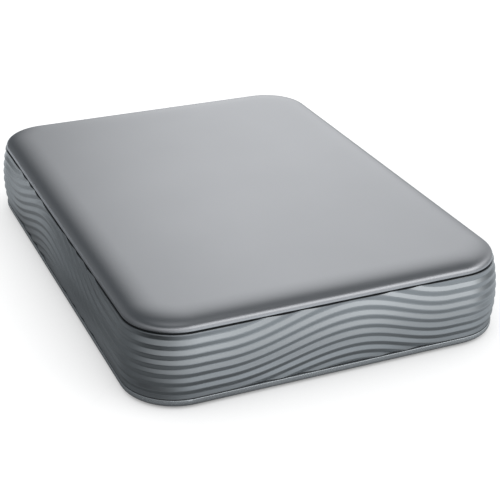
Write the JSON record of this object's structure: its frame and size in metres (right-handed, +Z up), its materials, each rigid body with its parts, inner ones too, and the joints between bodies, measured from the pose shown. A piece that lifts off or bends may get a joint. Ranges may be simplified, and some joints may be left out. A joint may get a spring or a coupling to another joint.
{
  "type": "portable external hard drive",
  "caption": "Flat portable disk drive with a metal cover, a wave-ridged side band, rubber feet, a cable port, and a disk drive with spinning platters and a swinging head arm inside.",
  "frame": {"origin": "under the middle of the case, on the surface that its feet stand on", "axes": "+X along a short side, +Y along a long side towards the port, +Z up"},
  "size_m": [0.088, 0.12, 0.0196],
  "materials": {
    "cover_metal": "finely blasted, satin",
    "band_plastic": "satin moulded ridges",
    "base_plastic": "fine spark texture",
    "foot_rubber": "matte",
    "bumper_rubber": "matte",
    "foam": "open foam",
    "tape": "foam tape",
    "film": "thin film",
    "circuit_board": "solder mask",
    "chip_body": "moulded",
    "connector_steel": "plated",
    "connector_plastic": "moulded",
    "lamp": "clear",
    "screw_steel": "machined",
    "casting": "as cast",
    "lid_steel": "pressed sheet",
    "gasket": "thin",
    "platter_mirror": "polished",
    "turned_metal": "turned",
    "bearing_steel": "ground",
    "stator_steel": "laminated",
    "magnet": "plated",
    "yoke_steel": "plated",
    "coil_wire": "enamelled wire",
    "ramp_plastic": "moulded",
    "filter_cloth": "woven"
  },
  "bodies": {
    "case": {"activity_led": "lamp", "air_filter": "filter_cloth", "base_tray": "base_plastic", "bearing_sleeve": "bearing_steel", "board_screws": "screw_steel", "bridge_board": "circuit_board", "bridge_chip": "chip_body", "bridge_screws": "screw_steel", "bumper_front_left": "bumper_rubber", "bumper_front_right": "bumper_rubber", "bumper_rear_left": "bumper_rubber", "bumper_rear_right": "bumper_rubber", "clock_crystal": "connector_steel", "controller_board": "circuit_board", "controller_chip": "chip_body", "cover_tape_left": "tape", "cover_tape_right": "tape", "drive_base": "casting", "drive_lid": "lid_steel", "foam_pad_front": "foam", "foam_pad_rear": "foam", "foot_front_left": "foot_rubber", "foot_front_right": "foot_rubber", "foot_rear_left": "foot_rubber", "foot_rear_right": "foot_rubber", "insulating_sheet": "film", "lid_gasket": "gasket", "lid_screws": "screw_steel", "light_pipe": "lamp", "load_ramp": "ramp_plastic", "lower_magnet": "magnet", "lower_yoke": "yoke_steel", "memory_chip": "chip_body", "motor_chip": "chip_body", "pivot_post": "bearing_steel", "sata_plug": "connector_plastic", "sata_socket": "connector_plastic", "stator": "stator_steel", "top_cover": "cover_metal", "upper_magnet": "magnet", "upper_yoke": "yoke_steel", "usb_shell": "connector_steel", "usb_tongue": "connector_plastic", "wave_band": "band_plastic"},
    "disk_stack": {"rotor_magnet": "magnet", "spindle_hub": "turned_metal", "spindle_shaft": "bearing_steel", "disk_clamp": "turned_metal", "clamp_screw": "screw_steel", "platter_1": "platter_mirror", "platter_2": "platter_mirror", "platter_3": "platter_mirror", "platter_4": "platter_mirror", "spacer_1": "turned_metal", "spacer_2": "turned_metal", "spacer_3": "turned_metal"},
    "actuator": {"pivot_sleeve": "bearing_steel", "actuator_block": "casting", "head_suspensions": "lid_steel", "voice_coil": "coil_wire"}
  },
  "joints": [
    {"name": "spindle_spin", "type": "hinge", "parent": "case", "child": "disk_stack", "pos_m": [0, -0.0202, 0.01], "axis": [0, 0, 1], "continuous": true},
    {"name": "actuator_swing", "type": "hinge", "parent": "case", "child": "actuator", "pos_m": [0.012, 0.0181, 0.01], "axis": [0, 0, 1], "range_deg": [0, 33]}
  ]
}
